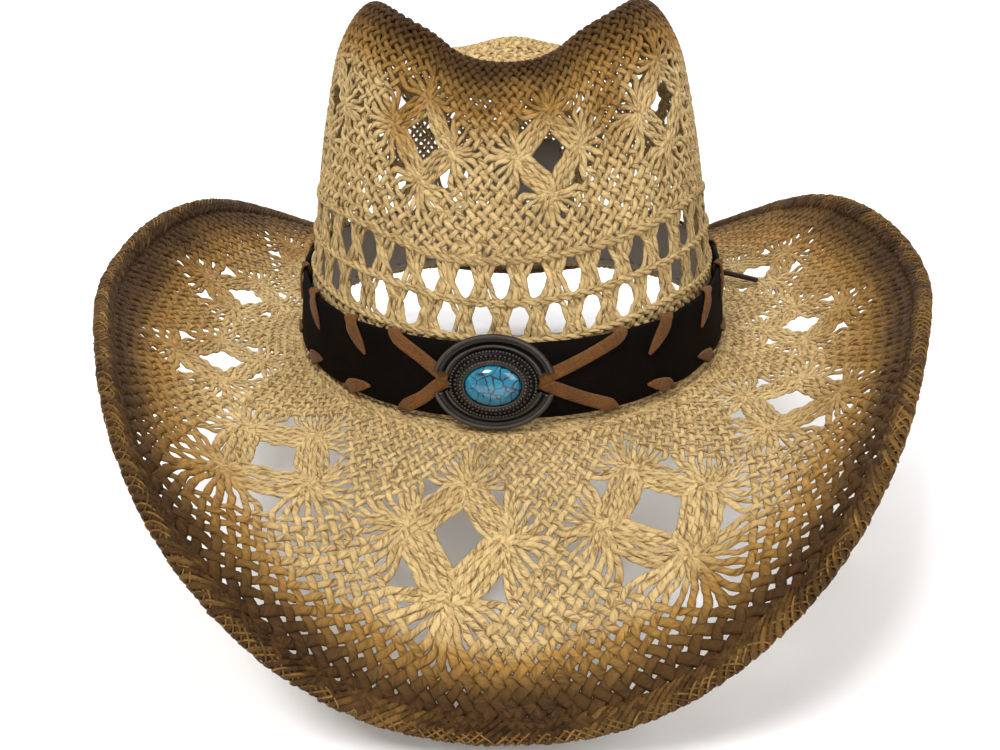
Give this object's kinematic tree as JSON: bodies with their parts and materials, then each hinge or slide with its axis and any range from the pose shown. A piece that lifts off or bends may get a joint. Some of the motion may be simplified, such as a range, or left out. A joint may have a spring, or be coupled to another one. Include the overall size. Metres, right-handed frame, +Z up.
{
  "type": "cowboy hat",
  "caption": "Open-weave straw cowboy hat with rolled brim, pinched crown, and a leather hatband carrying an oval concho with a turquoise stone.",
  "frame": {"origin": "centre of the head opening, at the height where the crown meets the brim at the sides", "axes": "+Z up through the crown, front of the hat at -Y, +X to the right of the picture"},
  "size_m": [0.3344, 0.3886, 0.2082],
  "materials": {
    "straw": "matte",
    "stained_straw": "matte",
    "wire": "satin",
    "elastic": "matte",
    "thread": "matte",
    "label": "satin",
    "dark_leather": "satin",
    "rust_suede": "matte",
    "dark_bronze": "satin",
    "turquoise": "gloss",
    "dark_suede": "matte"
  },
  "bodies": {
    "hat": {"woven_crown": "straw", "woven_brim": "straw", "edge_braid": "stained_straw", "edge_wire": "wire", "sweatband": "elastic", "sweatband_stitching": "thread", "inner_label": "label"},
    "hatband": {"leather_strap": "dark_leather", "top_whipstitches": "rust_suede", "lower_whipstitches": "rust_suede", "cross_lace_right": "rust_suede", "cross_lace_left": "rust_suede", "concho_plate": "dark_bronze", "concho_medallion": "dark_bronze", "stone_bezel": "dark_bronze", "turquoise_stone": "turquoise", "tie_knot": "dark_suede", "tie_tail_right": "dark_suede", "tie_tail_left": "dark_suede"}
  },
  "joints": [
    {"name": "hatband_lift", "type": "slide", "parent": "hat", "child": "hatband", "axis": [0, 0, 1], "range_m": [0, 0.15]}
  ]
}
